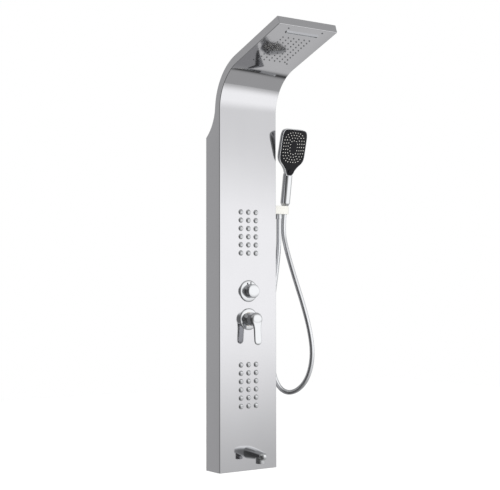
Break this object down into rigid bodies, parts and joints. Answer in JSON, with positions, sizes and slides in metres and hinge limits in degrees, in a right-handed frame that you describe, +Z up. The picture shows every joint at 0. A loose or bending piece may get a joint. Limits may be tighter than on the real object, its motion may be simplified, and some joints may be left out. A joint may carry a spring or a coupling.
{
  "type": "shower panel column",
  "caption": "Wall-hung steel shower column whose head bends forward, with rain field, body jets, diverter, lever mixer, tub spout and hand shower on a hose.",
  "frame": {"origin": "middle of the upper wall bracket's two screw holes, on the wall plane", "axes": "+X to the right seen from the room, +Y into the wall, +Z up"},
  "size_m": [0.3121, 0.3549, 1.2507],
  "materials": {
    "steel_panel": "satin, fine vertical grain",
    "steel_bracket": "plain rolled sheet",
    "bright_metal": "polished",
    "brass": "cast and machined",
    "white_plastic": "moulded, slightly warm white",
    "inner_plastic": "moulded",
    "black_plastic": "moulded",
    "nozzle_rubber": "soft",
    "tube_plastic": "extruded, milky",
    "hose_silver": "smooth silver grey"
  },
  "bodies": {
    "column": {"column_shell": "steel_panel", "hanging_pins": "steel_bracket", "upper_bracket": "steel_bracket", "lower_bracket": "steel_bracket", "head_chamber": "inner_plastic", "rain_nozzles": "nozzle_rubber", "waterfall_lip": "bright_metal", "head_screws": "bright_metal", "upper_jets": "bright_metal", "lower_jets": "bright_metal", "upper_manifold": "inner_plastic", "lower_manifold": "inner_plastic", "valve_body": "brass", "valve_locknuts": "brass", "cartridge_nuts": "brass", "mixer_cartridge": "inner_plastic", "diverter_cartridge": "inner_plastic", "mixer_escutcheon": "bright_metal", "diverter_escutcheon": "bright_metal", "cartridge_cover": "bright_metal", "spout": "bright_metal", "spout_aerator": "bright_metal", "spout_shank": "bright_metal", "spout_nut": "brass", "spout_elbow": "brass", "hand_holder": "white_plastic", "outlet_connector": "brass", "hose_nut": "bright_metal", "shower_hose": "hose_silver", "upper_jet_tube": "tube_plastic", "lower_jet_tube": "tube_plastic", "spout_tube": "tube_plastic", "handset_tube": "tube_plastic", "rain_tube": "tube_plastic", "waterfall_tube": "tube_plastic"},
    "lever_rotor": {"lever_carrier": "brass", "lever_pin": "bright_metal"},
    "lever": {"lever_stem": "bright_metal", "lever_handle": "bright_metal", "grub_screw": "bright_metal"},
    "diverter": {"diverter_knob": "bright_metal", "diverter_spindle": "bright_metal", "diverter_pointer": "bright_metal"},
    "hose_end": {"cone_nut": "bright_metal"},
    "handset": {"handset_shell": "bright_metal", "handset_face": "black_plastic", "handset_mat": "nozzle_rubber"},
    "mode_button": {"mode_button": "bright_metal"}
  },
  "joints": [
    {"name": "mixer_swivel", "type": "hinge", "parent": "column", "child": "lever_rotor", "pos_m": [0, -0.09, -0.4655], "axis": [0, 1, 0], "range_deg": [-45, 45]},
    {"name": "mixer_lift", "type": "hinge", "parent": "lever_rotor", "child": "lever", "pos_m": [0, -0.09, -0.4655], "axis": [-1, 0, 0], "range_deg": [0, 25]},
    {"name": "diverter_turn", "type": "hinge", "parent": "column", "child": "diverter", "pos_m": [0, -0.085, -0.3845], "axis": [0, 1, 0], "continuous": true},
    {"name": "handset_lift", "type": "slide", "parent": "column", "child": "hose_end", "axis": [0, -0.1564, 0.9877], "range_m": [0, 0.06], "deforming": ["shower_hose"]},
    {"name": "handset_turn", "type": "hinge", "parent": "hose_end", "child": "handset", "pos_m": [0.1505, -0.0444, -0.14375], "axis": [0, -0.1564, 0.9877], "continuous": true},
    {"name": "button_press", "type": "slide", "parent": "handset", "child": "mode_button", "axis": [0, 0.969, 0.247], "range_m": [0, 0.002], "stiffness_N_per_m": 300}
  ]
}
